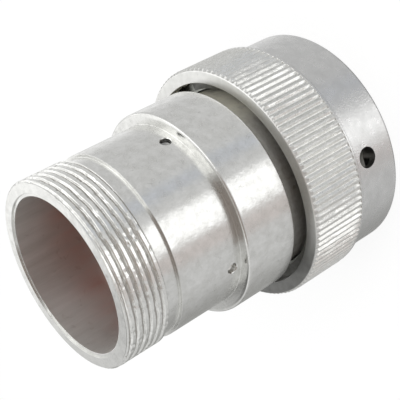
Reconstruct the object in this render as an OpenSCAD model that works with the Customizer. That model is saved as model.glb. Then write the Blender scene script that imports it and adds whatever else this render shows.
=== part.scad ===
// Bayonet-coupled circular connector plug with socket contacts.
// It stands on its coupling ring. Z runs from the mating face towards the cable end.
// Sizes are in millimetres, and the walls build outwards from the cable entry.

/* [Cable end] */
// Bore at the cable end of the rear adapter
entry_d = 30.5; // [29:0.1:31.5]
// Length of the entry bore, from the ferrule's seat to the rim
entry_len = 14.5; // [13.5:0.1:17]
// Outside diameter of the accessory thread
thread_d = 36.5; // [35.5:0.1:38]
// Length of the accessory thread
thread_len = 9; // [7:0.1:10]
// Pitch of the accessory thread
thread_pitch = 1.411; // [1.27:0.001:1.6]
// Depth of the accessory thread below its broad crests
thread_depth = 0.25; // [0.2:0.01:0.3]
// Depth of the relief neck below the thread's crest
relief_depth = 0.7; // [0.5:0.05:0.9]
// Length of the relief neck
relief_len = 2.7; // [2:0.1:3.5]
// Bevel at the thread's start
thread_bevel = 0.45; // [0.3:0.05:0.8]

/* [Adapter] */
// Length of the collar
collar_len = 11.1; // [10.9:0.1:13]
// Wall of the collar round the barrel's tail
collar_wall = 2.4; // [2:0.05:3]
// Round on the collar's front edge
collar_round = 0.9; // [0.4:0.1:1.2]
// Bevel on the collar's rear edge
collar_bevel = 0.5; // [0.2:0.05:0.8]
// Length of the body behind the collar
body_len = 13.5; // [12:0.1:16]
// Wall of the body round the entry bore
body_wall = 2.93; // [2.8:0.01:3.5]
// Bevel on the body's rear edge
body_bevel = 0.25; // [0.1:0.05:0.4]
// Width of the seat that presses on the ferrule
ferrule_seat = 0.75; // [0.5:0.05:0.9]
// Diameter of the spanner holes
spanner_d = 2; // [1.5:0.1:2.5]
// Depth of the spanner holes
spanner_depth = 1.6; // [1:0.05:1.7]
// Distance from the collar's rear face to the spanner holes
spanner_offset = 2; // [1.6:0.1:3]
// Direction of the first pair of spanner holes
spanner_angle = 57; // [0:1:90]
// Angle between the two cross-drilled pairs
spanner_spread = 87; // [60:1:120]

/* [Barrel] */
// Wall of the barrel's front end
barrel_wall = 2.1; // [1.9:0.05:3]
// Width of the seat for the insert's flange
insert_seat = 0.8; // [0.5:0.05:1]
// Distance of the barrel's front end behind the ring's front face
barrel_recess = 0.9; // [0.5:0.1:1.5]
// Thickness of the flange that carries the ring
flange_t = 3; // [2:0.1:4]
// Wall of the neck behind the flange
neck_wall = 2.4; // [2.2:0.05:2.7]
// Height of the shoulder that the adapter's front face seats on
tail_step = 0.5; // [0.3:0.05:0.7]
// Length of the barrel's tail inside the adapter
tail_len = 9; // [8:0.1:9.2]
// Thickness of the seal between the tail and the adapter
tail_seal_t = 1; // [0.6:0.1:1.2]
// Height of the polarising keys
key_h = 0.9; // [0.5:0.05:1.1]
// Width of the main key
main_key_w = 3.2; // [2.6:0.1:4]
// Width of the other keys
key_w = 2; // [1.4:0.1:2.4]

/* [Coupling ring] */
// Wall of the mating shell that enters between barrel and ring
mate_wall = 1.45; // [1.3:0.05:2]
// Clearance on each side of the mating shell
mate_gap = 0.3; // [0.2:0.05:0.4]
// Depth of the ring's front bore
front_depth = 12.6; // [12:0.1:14]
// Step from the front bore out to the rear bore
bore_step = 1.6; // [1.4:0.05:2]
// Depth of the bayonet slots
slot_depth = 1.8; // [1.4:0.05:2.2]
// Wall outside the bayonet slots
band_wall = 1.35; // [1:0.05:2]
// Bevel on the ring's front edges
band_bevel = 0.4; // [0.2:0.05:0.6]
// Width of the bayonet slots
slot_w = 3.4; // [2.6:0.1:3.8]
// Turn of the ring from entry to lock
ramp_turn = 95; // [80:1:100]
// Rise of the slots from entry to lock
ramp_rise = 2.9; // [2:0.1:3.2]
// Distance of the locked position from the ring's front face
lock_z = 6.8; // [6.4:0.1:7.4]
// Diameter of the sight holes at the slots' locked ends
sight_d = 4; // [3.9:0.1:4.6]
// Direction of the first sight hole
sight_angle = -4.7; // [-60:0.1:60]
// Length of the lip behind the snap ring
lip_len = 2.05; // [1.5:0.05:3]
// Gap between the ring's rear face and the collar
collar_gap = 2.4; // [1.5:0.1:4]

/* [Knurl] */
// Length of the knurl, from the ring's rear face
knurl_len = 12.3; // [10:0.1:12.8]
// Length of the plain lip in front of the knurl
knurl_lip = 0.5; // [0.3:0.05:0.8]
// Height of the knurl's crests above the front band
knurl_rise = 1.25; // [1:0.05:2]
// Depth of the knurl's grooves
knurl_depth = 0.38; // [0.2:0.02:0.6]
// Spacing of the knurl's ridges
knurl_pitch = 1.27; // [1.1:0.01:2]
// Length of the bevel at the knurl's rear end
knurl_bevel = 0.5; // [0.3:0.05:0.7]

/* [Spring pack] */
// Height of the wave spring as fitted
spring_h = 2.8; // [2.2:0.1:4]
// Thickness of the wave spring's strip
spring_t = 0.5; // [0.3:0.05:0.7]
// Waves round the spring
spring_waves = 3; // [3:1:5]
// Thickness of the thrust washer
washer_t = 1; // [0.8:0.1:1.5]
// Thickness of the snap ring
snap_t = 1.2; // [0.8:0.1:1.6]
// Depth of the snap ring's groove in the coupling ring
snap_groove = 1; // [0.6:0.05:1.2]
// Room between the snap ring and the barrel's neck
snap_room = 0.7; // [0.4:0.05:0.9]
// Opening between the snap ring's ends
snap_split = 14; // [8:1:30]
// Direction of the snap ring's opening
snap_angle = 104; // [0:1:180]
// Thickness of the shell seal
shell_seal_t = 1; // [0.6:0.1:1.5]

/* [Insert] */
// Distance of the insert's face behind the barrel's front end
face_recess = 0.7; // [0.4:0.1:1.2]
// Thickness of the interface seal
face_seal_t = 1.6; // [1:0.1:2.5]
// Length of the front insert's nose in the barrel's front bore
nose_len = 9.8; // [8:0.1:11]
// Thickness of the front insert's flange
insert_flange_t = 2; // [1.5:0.1:3]
// Thickness of the retention disc
disc_t = 1.6; // [1:0.1:2.5]
// Length of the rear insert
rear_insert_len = 9.4; // [8:0.1:10]
// Thickness of the insert's lock ring
lock_ring_t = 1.2; // [0.8:0.1:1.6]
// Depth of the lock ring's groove in the barrel
lock_groove = 0.7; // [0.4:0.05:0.9]
// Radial width of the lock ring
lock_ring_w = 2.2; // [1.8:0.1:2.6]
// Thickness of the grommet's ferrule
ferrule_t = 1.5; // [1:0.1:2.5]
// Radial width of the ferrule
ferrule_w = 3; // [2:0.1:3.4]

/* [Contacts] */
// Distance from the insert's edge in to the outer circle of contacts
circle_margin = 4.6; // [4.4:0.1:4.9]
// Distance between the two circles of contacts
circle_gap = 5.1; // [4.9:0.1:5.3]
// Outside diameter of the contacts
contact_d = 3.1; // [2.9:0.05:3.3]
// Bore of the socket end
socket_d = 2.4; // [2.2:0.05:2.5]
// Depth of the socket
socket_depth = 8; // [6:0.1:9]
// Width of the slits between the socket's tines
slit_w = 0.35; // [0.2:0.05:0.5]
// Height of the contacts' shoulder
shoulder_h = 0.35; // [0.25:0.05:0.5]
// Length of the contacts' shoulder
shoulder_len = 1.6; // [1:0.1:2]
// Bore of the crimp end
crimp_d = 2.5; // [2.2:0.05:2.6]
// Depth of the crimp end
crimp_depth = 6.5; // [5:0.1:7.5]
// Length of the contacts inside the grommet
crimp_reach = 4; // [3:0.1:5]
// Wire hole in the grommet
wire_hole_d = 2.2; // [1.8:0.1:2.6]

/* [Hidden] */
$fn = 96;
// Overshoot of cutting shapes
over = 1;
// Radial clearance of the turning ring on the barrel's flange
run_gap = 0.06;
// Axial clearance between faces that turn on each other
face_gap = 0.05;
// Clearance of screwed and snapped pieces
fit_gap = 0.05;
// Clearance of moulded pieces and contacts in their holes
mould_gap = 0.1;
// Clearance of loose inner pieces
loose_gap = 0.3;
// Coupling lugs on the mating shell, and the angle between them
lugs = 3;
lug_angle = 360 / lugs;
// Directions of the main key and the other keys
main_key_angle = 90;
key_angles = [195, 230, 305, 355];
// Small bevel on turned edges
edge_bevel = 0.3;
// Segments in a rounded edge
round_steps = 4;
// Segments along one wave of the spring
wave_steps = 24;
// Segments along one turn of the thread
turn_steps = 48;
// Angle of the thread's flanks, and the flat at its root
flank_angle = 30;
thread_root_w = 0.22;
// Shares of a knurl pitch taken by a crest and a root
crest_share = 0.28;
root_share = 0.18;
// Height of the ridges left at the knurl's rear end
ridge_end = 0.06;
// How far the bevel cone at the knurl's rear end runs past its crests
bevel_reach = 1.5;
// How far the knurl's lip stays below its crests
knurl_lip_drop = 0.06;
// How far the contacts stand behind the interface seal
contact_set = 0.3;
// Split of the insert's lock ring
lock_split = 20;

// Radii, from the cable entry outwards
entry_r = entry_d / 2;
chamber_r = entry_r + ferrule_seat;
nose_bore_r = chamber_r - insert_seat;
barrel_r = nose_bore_r + barrel_wall;
key_r = barrel_r + key_h;
neck_r = chamber_r + neck_wall;
tail_r = neck_r - tail_step;
tail_bore_r = tail_r + fit_gap;
collar_r = tail_bore_r + collar_wall;
body_r = entry_r + body_wall;
thread_r = thread_d / 2;
relief_r = thread_r - relief_depth;
thread_root_r = thread_r - thread_depth;
front_bore_r = barrel_r + mate_gap + mate_wall + mate_gap;
rear_bore_r = front_bore_r + bore_step;
slot_r = front_bore_r + slot_depth;
band_r = slot_r + band_wall;
knurl_r = band_r + knurl_rise;
knurl_root_r = knurl_r - knurl_depth;
knurl_lip_r = knurl_r - knurl_lip_drop;
flange_r = rear_bore_r - run_gap;
snap_groove_r = rear_bore_r + snap_groove;
lock_groove_r = chamber_r + lock_groove;
lock_ring_r = lock_groove_r - fit_gap;
lock_ring_hole_r = lock_ring_r - lock_ring_w;
insert_r = chamber_r - mould_gap;
nose_r = nose_bore_r - mould_gap;
washer_hole_r = neck_r + loose_gap;
washer_r = rear_bore_r - loose_gap;
contact_r = contact_d / 2;
contact_hole_r = contact_r + mould_gap;
shoulder_r = contact_r + shoulder_h;
outer_circle = nose_r - circle_margin;
inner_circle = outer_circle - circle_gap;

// Heights of the shells, from the ring's front face upwards
flange_z = front_depth + face_gap;
spring_z = flange_z + flange_t;
washer_z = spring_z + spring_h;
snap_z = washer_z + washer_t + face_gap;
ring_len = snap_z + snap_t + face_gap + lip_len;
knurl_z = ring_len - knurl_len;
ridge_z = knurl_z + knurl_lip;
collar_z = ring_len + collar_gap;
tail_end_z = collar_z + tail_len;
chamber_z = tail_end_z + tail_seal_t;
body_z = collar_z + collar_len;
relief_z = body_z + body_len;
thread_z = relief_z + relief_len;
rim_z = thread_z + thread_len;
entry_z = rim_z - entry_len;
ferrule_z = entry_z - ferrule_t;

// Heights of the insert stack
face_z = barrel_recess + face_recess;
nose_z = face_z + face_seal_t;
seat_z = nose_z + nose_len;
disc_z = seat_z + insert_flange_t;
rear_insert_z = disc_z + disc_t;
lock_ring_z = rear_insert_z + rear_insert_len;
contact_z = nose_z + contact_set;
crimp_end_z = lock_ring_z + crimp_reach;

// Contacts on a centre spot and two circles
contact_circles = [[0, 1], [inner_circle, 6], [outer_circle, 12]];
contact_spots = [
    for (circle = contact_circles)
        for (i = [0 : circle[1] - 1])
            circle[0] * [cos(i * 360 / circle[1]), sin(i * 360 / circle[1])]
];

// Bayonet ramp: a tilted slab follows the slot's rise over its turn
ramp_start_z = lock_z - ramp_rise;
ramp_tilt = atan(ramp_rise / 2 / ((front_bore_r + slot_r) / 2 * sin(ramp_turn / 2)));

// Knurl outline: one trapezium a ridge
ridges = round(2 * PI * knurl_r / knurl_pitch);
ridge_angle = 360 / ridges;
knurl_outline = [
    for (i = [0 : ridges - 1])
        for (corner = [
            [-root_share / 2, knurl_root_r],
            [root_share / 2, knurl_root_r],
            [(1 - crest_share) / 2, knurl_r],
            [(1 + crest_share) / 2, knurl_r]
        ])
            corner[1] * [cos((i + corner[0]) * ridge_angle), sin((i + corner[0]) * ridge_angle)]
];

// Points of a round in a turned outline, from one angle to another
function round_points(r, z, radius, from, to) = [
    for (i = [0 : round_steps])
        let (a = from + (to - from) * i / round_steps)
            [r + radius * cos(a), z + radius * sin(a)]
];

// A turned piece from its outline of radius and height
module turned(outline) {
    rotate_extrude()
        polygon(outline);
}

// A plain ring between two heights
module tube(outer_r, inner_r, from_z, to_z) {
    turned([[inner_r, from_z], [outer_r, from_z], [outer_r, to_z], [inner_r, to_z]]);
}

// A wedge of space about the axis, centred on the X axis and under half a turn wide
module wedge(angle, reach, from_z, to_z) {
    corner = [reach, reach * tan(angle / 2)];
    translate([0, 0, from_z])
        linear_extrude(to_z - from_z)
            polygon([[0, 0], [corner[0], -corner[1]], corner]);
}

// A flat ring with an opening, as punched and split
module split_ring(outer_r, inner_r, from_z, thickness, split, direction) {
    difference() {
        tube(outer_r, inner_r, from_z, from_z + thickness);
        rotate([0, 0, direction])
            wedge(split, outer_r + over, from_z - over, from_z + thickness + over);
    }
}

// Upright holes at every contact
module contact_holes(radius, from_z, to_z) {
    for (spot = contact_spots)
        translate([spot[0], spot[1], from_z])
            cylinder(r = radius, h = to_z - from_z);
}

// One bayonet slot with its locked end on the X axis
module bayonet_slot() {
    intersection() {
        cylinder(r = slot_r, h = front_depth);
        rotate([0, 0, -ramp_turn / 2])
            wedge(ramp_turn, 2 * slot_r, 0, front_depth);
        rotate([0, 0, -ramp_turn / 2])
            translate([0, 0, (ramp_start_z + lock_z) / 2])
                rotate([ramp_tilt, 0, 0])
                    cylinder(r = 2 * slot_r, h = slot_w, center = true);
    }
    intersection() {
        translate([0, 0, -over])
            cylinder(r = slot_r, h = front_depth + over);
        rotate([0, 0, -ramp_turn]) {
            translate([0, -slot_w / 2, -over])
                cube([slot_r, slot_w, ramp_start_z + over]);
            translate([0, 0, ramp_start_z])
                rotate([0, 90, 0])
                    cylinder(d = slot_w, h = slot_r);
        }
    }
    translate([0, 0, lock_z])
        rotate([0, 90, 0])
            cylinder(d = sight_d, h = band_r + over);
}

// Straight knurl behind the lip, bevelled at its rear end
module knurl() {
    bevel_r = knurl_root_r + ridge_end + bevel_reach * knurl_depth;
    intersection() {
        translate([0, 0, ridge_z])
            linear_extrude(ring_len - ridge_z)
                polygon(knurl_outline);
        turned([
            [0, knurl_z],
            [bevel_r, knurl_z],
            [bevel_r, ring_len - bevel_reach * knurl_bevel],
            [knurl_root_r + ridge_end, ring_len],
            [0, ring_len]
        ]);
    }
}

// Room inside the coupling ring, with the snap ring's groove
module ring_bore() {
    turned([
        [0, -over],
        [front_bore_r + band_bevel + over, -over],
        [front_bore_r, band_bevel],
        [front_bore_r, front_depth],
        [rear_bore_r, front_depth],
        [rear_bore_r, snap_z - face_gap],
        [snap_groove_r, snap_z - face_gap],
        [snap_groove_r, snap_z + snap_t + face_gap],
        [rear_bore_r, snap_z + snap_t + face_gap],
        [rear_bore_r, ring_len - edge_bevel],
        [rear_bore_r + edge_bevel + over, ring_len + over],
        [0, ring_len + over]
    ]);
}

module coupling_ring() {
    color([0.78, 0.79, 0.77])
        difference() {
            union() {
                turned([
                    [0, 0],
                    [band_r - band_bevel, 0],
                    [band_r, band_bevel],
                    [band_r, knurl_z],
                    [knurl_lip_r - edge_bevel / 2, knurl_z],
                    [knurl_lip_r, knurl_z + edge_bevel / 2],
                    [knurl_lip_r, ridge_z],
                    [0, ridge_z]
                ]);
                knurl();
            }
            ring_bore();
            for (i = [0 : lugs - 1])
                rotate([0, 0, sight_angle + i * lug_angle])
                    bayonet_slot();
        }
}

module snap_ring() {
    color([0.62, 0.63, 0.62])
        split_ring(snap_groove_r - fit_gap, neck_r + snap_room, snap_z, snap_t, snap_split, snap_angle);
}

module thrust_washer() {
    color([0.66, 0.66, 0.65])
        tube(washer_r, washer_hole_r, washer_z, washer_z + washer_t);
}

// Wave spring: a flat strip bent up and down round the neck
module wave_spring() {
    steps = spring_waves * wave_steps;
    swing = (spring_h - face_gap - spring_t) / 2;
    section = [[washer_hole_r, 0], [washer_r, 0], [washer_r, spring_t], [washer_hole_r, spring_t]];
    points = [
        for (i = [0 : steps - 1])
            let (a = i * 360 / steps, z = spring_z + swing * (1 - cos(spring_waves * a)))
                for (corner = section)
                    [corner[0] * cos(a), corner[0] * sin(a), z + corner[1]]
    ];
    faces = [
        for (i = [0 : steps - 1])
            for (side = [0 : 3])
                let (next = (i + 1) % steps, turn = (side + 1) % 4)
                    each [
                        [4 * i + side, 4 * i + turn, 4 * next + turn],
                        [4 * i + side, 4 * next + turn, 4 * next + side]
                    ]
    ];
    color([0.55, 0.56, 0.57])
        polyhedron(points, faces);
}

// One polarising key on the barrel
module barrel_key(width) {
    intersection() {
        tube(
            key_r,
            nose_bore_r + barrel_wall / 2,
            barrel_recess + edge_bevel,
            flange_z - shell_seal_t - loose_gap
        );
        translate([0, -width / 2, 0])
            cube([key_r + over, width, flange_z]);
    }
}

module plug_barrel() {
    color([0.74, 0.75, 0.73])
        union() {
            turned([
                [nose_bore_r, barrel_recess + edge_bevel],
                [nose_bore_r + edge_bevel, barrel_recess],
                [barrel_r - edge_bevel, barrel_recess],
                [barrel_r, barrel_recess + edge_bevel],
                [barrel_r, flange_z],
                [flange_r, flange_z],
                [flange_r, spring_z],
                [neck_r, spring_z],
                [neck_r, collar_z],
                [tail_r, collar_z],
                [tail_r, tail_end_z - edge_bevel],
                [tail_r - edge_bevel, tail_end_z],
                [chamber_r, tail_end_z],
                [chamber_r, lock_ring_z + lock_ring_t + face_gap],
                [lock_groove_r, lock_ring_z + lock_ring_t + face_gap],
                [lock_groove_r, lock_ring_z],
                [chamber_r, lock_ring_z],
                [chamber_r, seat_z],
                [nose_bore_r, seat_z]
            ]);
            rotate([0, 0, main_key_angle])
                barrel_key(main_key_w);
            for (a = key_angles)
                rotate([0, 0, a])
                    barrel_key(key_w);
        }
}

module shell_seal() {
    color([0.16, 0.16, 0.17])
        tube(front_bore_r - loose_gap, barrel_r + fit_gap, flange_z - shell_seal_t, flange_z);
}

module interface_seal() {
    color([0.45, 0.2, 0.16])
        difference() {
            tube(nose_r, 0, face_z, nose_z);
            contact_holes(socket_d / 2 + mould_gap, face_z - over, nose_z + over);
        }
}

module front_insert() {
    color([0.2, 0.22, 0.2])
        difference() {
            turned([
                [0, nose_z],
                [nose_r, nose_z],
                [nose_r, seat_z],
                [insert_r, seat_z],
                [insert_r, disc_z],
                [0, disc_z]
            ]);
            contact_holes(contact_hole_r, nose_z - over, disc_z + over);
        }
}

module retention_disc() {
    color([0.75, 0.72, 0.62])
        difference() {
            tube(insert_r, 0, disc_z, rear_insert_z);
            contact_holes(contact_hole_r, disc_z - over, rear_insert_z + over);
        }
}

module rear_insert() {
    color([0.2, 0.22, 0.2])
        difference() {
            tube(insert_r, 0, rear_insert_z, lock_ring_z);
            contact_holes(contact_hole_r, rear_insert_z - over, lock_ring_z + over);
            contact_holes(
                shoulder_r + mould_gap,
                rear_insert_z - over,
                rear_insert_z + shoulder_len + mould_gap
            );
        }
}

module insert_lock_ring() {
    color([0.6, 0.61, 0.6])
        split_ring(lock_ring_r, lock_ring_hole_r, lock_ring_z, lock_ring_t, lock_split, main_key_angle);
}

module rear_grommet() {
    color([0.48, 0.22, 0.17])
        difference() {
            turned([
                [0, lock_ring_z],
                [lock_ring_hole_r - loose_gap, lock_ring_z],
                [lock_ring_hole_r - loose_gap, lock_ring_z + lock_ring_t + loose_gap],
                [chamber_r - loose_gap, lock_ring_z + lock_ring_t + loose_gap],
                [chamber_r - loose_gap, ferrule_z],
                [0, ferrule_z]
            ]);
            contact_holes(contact_hole_r, lock_ring_z - over, crimp_end_z + loose_gap);
            contact_holes(wire_hole_d / 2, crimp_end_z, ferrule_z + over);
        }
}

module grommet_ferrule() {
    color([0.35, 0.36, 0.36])
        tube(chamber_r - mould_gap, chamber_r - mould_gap - ferrule_w, ferrule_z, entry_z);
}

module adapter_seal() {
    color([0.16, 0.16, 0.17])
        tube(tail_r, chamber_r, tail_end_z, chamber_z);
}

// One blind spanner hole in the adapter's body, along the X axis
module spanner_hole() {
    translate([body_r - spanner_depth, 0, body_z + spanner_offset])
        rotate([0, 90, 0])
            cylinder(d = spanner_d, h = spanner_depth + over);
}

// Groove of the right-hand thread: a section swept from the relief neck out past the rim
module thread_groove() {
    mouth_r = thread_r + edge_bevel;
    mouth_half_w = thread_root_w / 2 + (mouth_r - thread_root_r) * tan(flank_angle);
    section = [
        [mouth_r, -mouth_half_w],
        [mouth_r, mouth_half_w],
        [thread_root_r, thread_root_w / 2],
        [thread_root_r, -thread_root_w / 2]
    ];
    from_z = thread_z - mouth_half_w - face_gap;
    to_z = rim_z + mouth_half_w + face_gap;
    steps = ceil((to_z - from_z) / thread_pitch * turn_steps);
    points = [
        for (i = [0 : steps])
            let (a = i * 360 / turn_steps, z = from_z + i * thread_pitch / turn_steps)
                for (corner = section)
                    [corner[0] * cos(a), corner[0] * sin(a), z + corner[1]]
    ];
    sides = [
        for (i = [0 : steps - 1])
            for (side = [0 : 3])
                let (turn = (side + 1) % 4)
                    each [
                        [4 * i + side, 4 * i + turn, 4 * i + 4 + turn],
                        [4 * i + side, 4 * i + 4 + turn, 4 * i + 4 + side]
                    ]
    ];
    ends = [[3, 2, 1, 0], [4 * steps, 4 * steps + 1, 4 * steps + 2, 4 * steps + 3]];
    polyhedron(points, concat(sides, ends));
}

module rear_adapter() {
    color([0.8, 0.8, 0.78])
        difference() {
            turned(concat(
                [[tail_bore_r, collar_z]],
                round_points(collar_r - collar_round, collar_z + collar_round, collar_round, -90, 0),
                [
                    [collar_r, body_z - collar_bevel],
                    [collar_r - collar_bevel, body_z],
                    [body_r, body_z],
                    [body_r, relief_z - body_bevel],
                    [body_r - body_bevel, relief_z],
                    [relief_r, relief_z],
                    [relief_r, thread_z],
                    [thread_r, thread_z],
                    [thread_r, rim_z - thread_bevel],
                    [thread_r - thread_bevel, rim_z],
                    [entry_r + edge_bevel, rim_z],
                    [entry_r, rim_z - edge_bevel],
                    [entry_r, entry_z],
                    [chamber_r, entry_z],
                    [chamber_r, chamber_z],
                    [tail_bore_r, chamber_z]
                ]
            ));
            thread_groove();
            for (a = [spanner_angle, spanner_angle - spanner_spread])
                for (side = [0, 180])
                    rotate([0, 0, a + side])
                        spanner_hole();
        }
}

// A turned contact: slit socket end, shoulder and crimp barrel
module socket_contact(spot) {
    color([0.85, 0.7, 0.4])
        translate([spot[0], spot[1], 0])
            difference() {
                turned([
                    [socket_d / 2, contact_z],
                    [contact_r, contact_z],
                    [contact_r, rear_insert_z],
                    [shoulder_r, rear_insert_z],
                    [shoulder_r, rear_insert_z + shoulder_len],
                    [contact_r, rear_insert_z + shoulder_len],
                    [contact_r, crimp_end_z],
                    [crimp_d / 2, crimp_end_z],
                    [crimp_d / 2, crimp_end_z - crimp_depth],
                    [0, crimp_end_z - crimp_depth],
                    [0, contact_z + socket_depth],
                    [socket_d / 2, contact_z + socket_depth]
                ]);
                for (a = [0, 90])
                    rotate([0, 0, a])
                        translate([-contact_d, -slit_w / 2, contact_z - over])
                            cube([2 * contact_d, slit_w, socket_depth]);
            }
}

coupling_ring();
snap_ring();
thrust_washer();
wave_spring();
plug_barrel();
shell_seal();
interface_seal();
front_insert();
retention_disc();
rear_insert();
insert_lock_ring();
rear_grommet();
grommet_ferrule();
adapter_seal();
rear_adapter();
for (i = [1 : len(contact_spots)])
    socket_contact(contact_spots[i - 1]);
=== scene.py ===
import math
import bmesh
import bpy
from mathutils import Matrix, Vector, noise


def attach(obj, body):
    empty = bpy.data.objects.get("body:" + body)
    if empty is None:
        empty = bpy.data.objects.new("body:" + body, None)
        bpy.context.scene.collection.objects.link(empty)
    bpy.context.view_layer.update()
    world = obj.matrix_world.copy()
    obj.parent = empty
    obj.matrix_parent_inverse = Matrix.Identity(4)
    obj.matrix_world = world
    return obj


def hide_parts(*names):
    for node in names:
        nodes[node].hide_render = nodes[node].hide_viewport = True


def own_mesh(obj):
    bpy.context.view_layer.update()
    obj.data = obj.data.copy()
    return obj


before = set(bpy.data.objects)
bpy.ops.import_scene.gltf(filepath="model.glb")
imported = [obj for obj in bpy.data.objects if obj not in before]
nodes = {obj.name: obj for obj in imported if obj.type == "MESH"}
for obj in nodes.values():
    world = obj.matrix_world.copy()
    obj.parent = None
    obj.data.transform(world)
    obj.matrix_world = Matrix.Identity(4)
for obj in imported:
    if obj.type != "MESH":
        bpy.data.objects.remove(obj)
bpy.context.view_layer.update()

mm = 0.001
print("frame loaded,", len(nodes), "solids")


# the camera was fitted to the circles of the turned shells in the photograph
photoView = {
    "imagePx": 400,
    "focalPx": 1022.6,
    "axisTilt": 59.32,  # degrees from the line of sight back to the connector's axis
    "axisRoll": 150.97,  # degrees in the picture, towards the cable end
    "faceCentre": (22.52, -12.30, 208.58),  # mm from the lens: right, down, away
    "sensor": 36.0,
    "clip": (0.01, 20),  # m
}


def aimCamera(view):
    tilt, roll = math.radians(view["axisTilt"]), math.radians(view["axisRoll"])
    alongZ = Vector((math.sin(tilt) * math.cos(roll), math.sin(tilt) * math.sin(roll), -math.cos(tilt)))
    alongX = alongZ.cross(Vector((0, 1, 0))).normalized()
    toObject = Matrix((alongX, alongZ.cross(alongX), alongZ))  # lens axes to the part's axes
    lens = bpy.data.cameras.new("photoCamera")
    lens.sensor_width = view["sensor"]
    lens.lens = view["sensor"] * view["focalPx"] / view["imagePx"]
    lens.clip_start, lens.clip_end = view["clip"]
    camera = bpy.data.objects.new("photoCamera", lens)
    bpy.context.scene.collection.objects.link(camera)
    right, down, away = (toObject @ Vector(axis) for axis in ((1, 0, 0), (0, 1, 0), (0, 0, 1)))
    place = -(toObject @ Vector(view["faceCentre"])) * mm
    camera.matrix_world = Matrix.Translation(place) @ Matrix((right, -down, -away)).transposed().to_4x4()
    bpy.context.scene.camera = camera
    return camera


camera = aimCamera(photoView)
print("camera set,", round(camera.location.length / mm), "mm from the mating face")


def srgb(hexText):  # hex to linear, by the standard curve
    parts = [int(hexText[i:i + 2], 16) / 255 for i in (1, 3, 5)]
    return [p / 12.92 if p <= 0.04045 else ((p + 0.055) / 1.055) ** 2.4 for p in parts] + [1.0]


def addNode(tree, kind, settings=None, values=None, links=None):
    node = tree.nodes.new(kind)
    for name, value in (settings or {}).items():
        setattr(node, name, value)
    for name, value in (values or {}).items():
        node.inputs[name].default_value = value
    for name, source in (links or {}).items():
        tree.links.new(source, node.inputs[name])
    return node


def newMaterial(name):
    material = bpy.data.materials.new(name)
    material.use_nodes = True
    material.node_tree.nodes.clear()
    return material, material.node_tree


def perMm(size):  # texture scale for features of this size in millimetres
    return 1 / (size * mm)


# turned aluminium under a clear finish: the tool's rings draw every reflection out along the axis
turnedLook = {
    "name": "turnedClearAluminium",
    "base": "#DFDFDD",
    "dull": "#D0D0CD",
    "smudge": "#B4B4B1",
    "roughness": 0.24,
    "anisotropy": 0.5,
    "mottle": 1.8,  # mm, cloudy patches in the finish
    "smudgeSize": 1.0,  # mm, handling marks
    "ring": 0.30,  # mm; a feed of about 0.1 mm is drawn coarser to show
    "ringDepth": 0.003,
    "grain": 1.1,  # mm, shallow handling dents that break up the highlight's edge
    "grainDepth": 0.03,
}
# faced shoulders and countersinks: rings about the axis, so the reflection fans out along each radius
facedLook = {
    "name": "facedClearAluminium",
    "base": "#DFDFDC",
    "dull": "#D4D4D1",
    "smudge": "#BEBEBB",
    "roughness": 0.22,
    "anisotropy": 0.6,
    "mottle": 2.0,
    "smudgeSize": 1.0,
    "ring": 0.30,
    "ringDepth": 0.006,
    "grain": 1.0,
    "grainDepth": 0.004,
}
# ring's rear face: finely turned satin, bright above, with painted shade darkening its lower side
satinLook = {
    "name": "satinTurnedAluminium",
    "base": "#E9E9E6",
    "dull": "#DFDFDC",
    "smudge": "#CACAC7",
    "roughness": 0.36,
    "anisotropy": 0.3,
    "mottle": 1.5,
    "smudgeSize": 0.8,
    "ring": 0.25,
    "ringDepth": 0.006,
    "grain": 0.6,
    "grainDepth": 0.004,
    # painted shade: the face goes grey towards -y, on its lower side
    "stainAndPaintedLight": {
        "towards": (0, -1, 0), "from": 4.0, "to": 18.0,  # mm along that direction, where it starts and is full
        "colour": "#828280", "cover": 1.0, "least": 0.86,  # the share that its thin patches keep
        "film": 0.0,  # the share that isn't metal
    },
}
# cut thread: crests keep the turned sheen, the flanks mirror what lies above
threadLook = {
    "name": "cutThreadAluminium",
    "base": "#E6E6E3",
    "dull": "#DADAD7",
    "smudge": "#BCBCB9",
    "roughness": 0.24,
    "anisotropy": 0.5,
    "mottle": 1.2,
    "smudgeSize": 0.6,
    "ring": 0.16,
    "ringDepth": 0.004,
    "grain": 0.5,
    "grainDepth": 0.03,
}
# bored wall: left dull, so it stays grey, with streaks along it and painted reddish shade deeper in
boredLook = {
    "name": "boredAluminiumPaintedShade",
    "base": "#DAD9D6",
    "dull": "#C9C7C3",
    "smudge": "#ABA59E",
    "roughness": 0.54,
    "anisotropy": 0.3,
    "mottle": 2.4,
    "smudgeSize": 2.0,
    "ring": 0.4,
    "ringDepth": 0.004,
    "grain": 0.6,
    "grainDepth": 0.01,
    "stretch": 0.12,  # streaks run along the bore
    # painted shade: darker and reddish deeper in the bore
    "stainAndPaintedLight": {"towards": (0, 0, -1), "from": -57.5, "to": -48.5,
              "colour": "#B98F83", "cover": 0.8, "least": 0.4, "film": 0.0},
}
# drilled holes and the ring's front bore: bare metal painted darker grey, painted shade inside them
drilledShadeLook = {
    "name": "drilledAluminiumPaintedShade",
    "base": "#A2A2A0",
    "dull": "#989896",
    "smudge": "#8A8A88",
    "roughness": 0.34,
    "anisotropy": 0.3,
    "mottle": 2.0,
    "smudgeSize": 1.0,
    "ring": 0.3,
    "ringDepth": 0.004,
    "grain": 0.4,
    "grainDepth": 0.01,
}
# ring's inner wall: the same grey metal with more painted shade, and pale dried dirt and painted light on one side, so
# the gap isn't black there
dustAndLightLook = {
    **drilledShadeLook,
    "name": "dustAndPaintedLightAluminium",
    "base": "#949492",
    # pale dried dirt and painted light towards +y
    "stainAndPaintedLight": {"towards": (0, 1, 0), "from": 6.0, "to": 12.0,
              "colour": "#D4D1C4", "cover": 0.9, "least": 0.5, "film": 0.95},
}
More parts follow.
